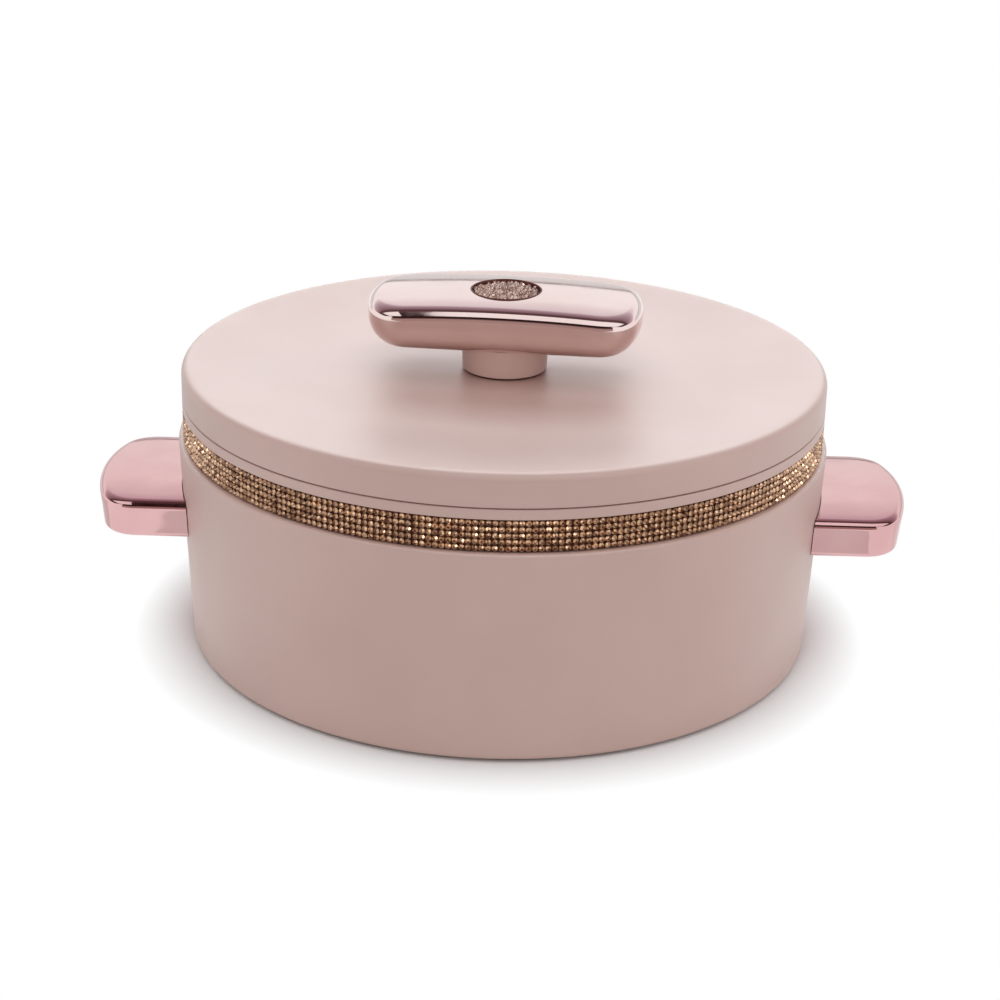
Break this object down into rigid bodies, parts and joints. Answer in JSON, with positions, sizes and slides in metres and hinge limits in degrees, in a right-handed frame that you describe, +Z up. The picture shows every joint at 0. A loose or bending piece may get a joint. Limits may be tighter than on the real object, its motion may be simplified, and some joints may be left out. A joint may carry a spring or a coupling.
{
  "type": "insulated casserole",
  "caption": "Round double-walled insulated casserole with a steel bowl, side handles, a stone band and a lift-off lid with a bar knob.",
  "frame": {"origin": "centre of the footprint, on the surface the rubber feet stand on", "axes": "+Z up, +X along the line of the two side handles"},
  "size_m": [0.3306, 0.2634, 0.1452],
  "materials": {
    "matte_shell": "matte moulded plastic",
    "rose_gold_plate": "polished rose-gold electroplated plastic",
    "stainless_steel": "satin stainless steel",
    "stones": "faceted champagne stones",
    "stone_mesh": "dark bronze mesh",
    "foam": "rigid polyurethane foam",
    "silicone": "translucent white silicone",
    "rubber": "dark rubber",
    "core_plastic": "natural moulded plastic",
    "fastener_steel": "zinc plated",
    "brass": "turned brass"
  },
  "bodies": {
    "body": {"outer_body": "matte_shell", "foam_plug": "core_plastic", "base_plate": "matte_shell", "rubber_feet": "rubber", "base_screws": "fastener_steel", "inner_bowl": "stainless_steel", "body_insulation": "foam", "rim_collar": "matte_shell", "band_strip": "stone_mesh", "stone_band": "stones", "handle_shell_right": "rose_gold_plate", "handle_core_right": "core_plastic", "handle_washers_right": "fastener_steel", "handle_screws_right": "fastener_steel", "handle_shell_left": "rose_gold_plate", "handle_core_left": "core_plastic", "handle_washers_left": "fastener_steel", "handle_screws_left": "fastener_steel"},
    "seal": {"lid_seal": "silicone"},
    "lid": {"lid_cover": "matte_shell", "lid_liner": "stainless_steel", "lid_ring": "matte_shell", "lid_insulation": "foam", "knob_seat_ring": "rubber", "knob_stem": "matte_shell", "knob_shell": "rose_gold_plate", "knob_plate": "rose_gold_plate", "knob_plate_screws": "fastener_steel", "knob_insert": "brass", "knob_washer": "fastener_steel", "knob_screw": "fastener_steel", "inlay_cup": "stone_mesh", "inlay_stones": "stones"}
  },
  "joints": [
    {"name": "lid_lift", "type": "slide", "parent": "body", "child": "seal", "axis": [0, 0, 1], "range_m": [0, 0.15]},
    {"name": "lid_turn", "type": "hinge", "parent": "seal", "child": "lid", "pos_m": [0, 0, 0.105], "axis": [0, 0, 1], "continuous": true}
  ]
}
